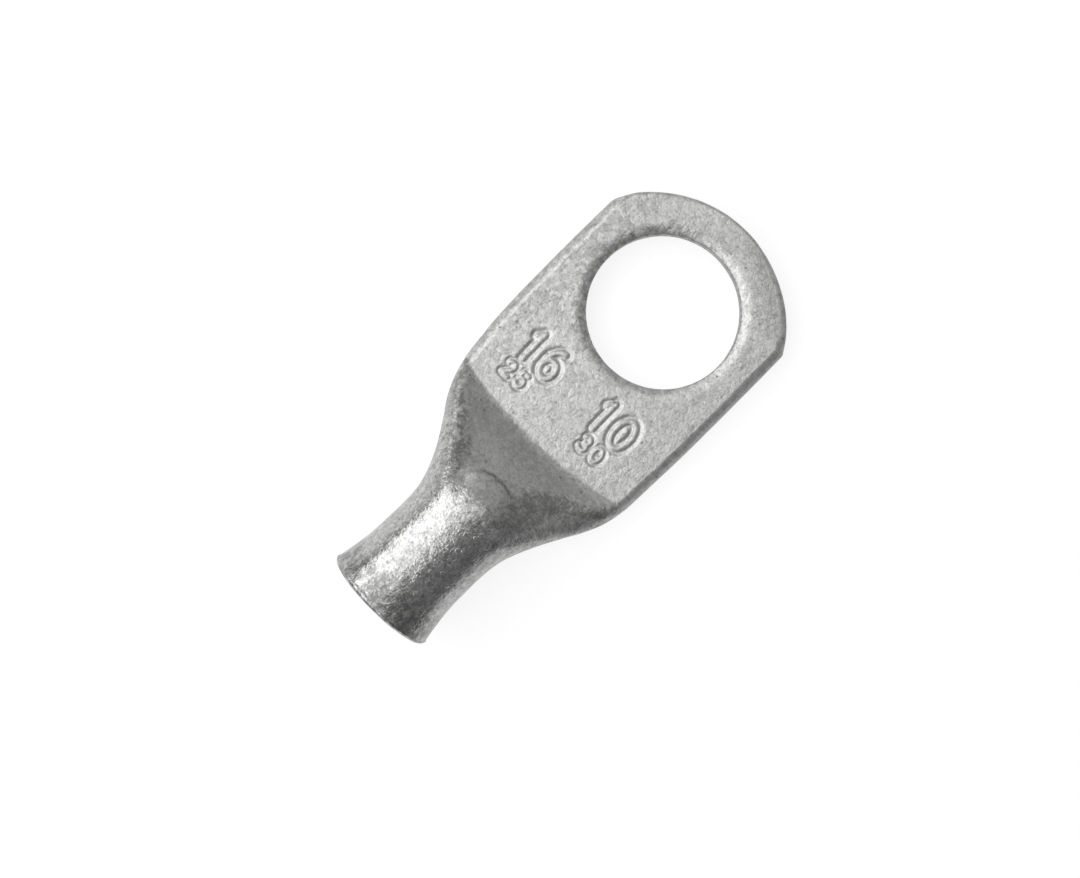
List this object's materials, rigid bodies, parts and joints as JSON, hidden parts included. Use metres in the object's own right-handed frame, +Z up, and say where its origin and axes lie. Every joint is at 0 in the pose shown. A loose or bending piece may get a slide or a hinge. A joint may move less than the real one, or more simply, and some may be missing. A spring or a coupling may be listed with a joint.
{
  "type": "battery cable lug",
  "caption": "Tinned copper tube lug: flat palm with a round tip and a stud hole, a pressed ramp, and a belled barrel with a blind bore for a cable.",
  "frame": {"origin": "on the axis of the stud hole, in the plane of the palm's underside", "axes": "+X along the lug from the barrel's mouth to the palm's tip, +Y across the palm, +Z up out of the palm's top face"},
  "size_m": [0.0339, 0.0154, 0.0079],
  "materials": {
    "tinned_copper": "satin"
  },
  "bodies": {
    "root": {"cable_lug": "tinned_copper"}
  },
  "joints": []
}
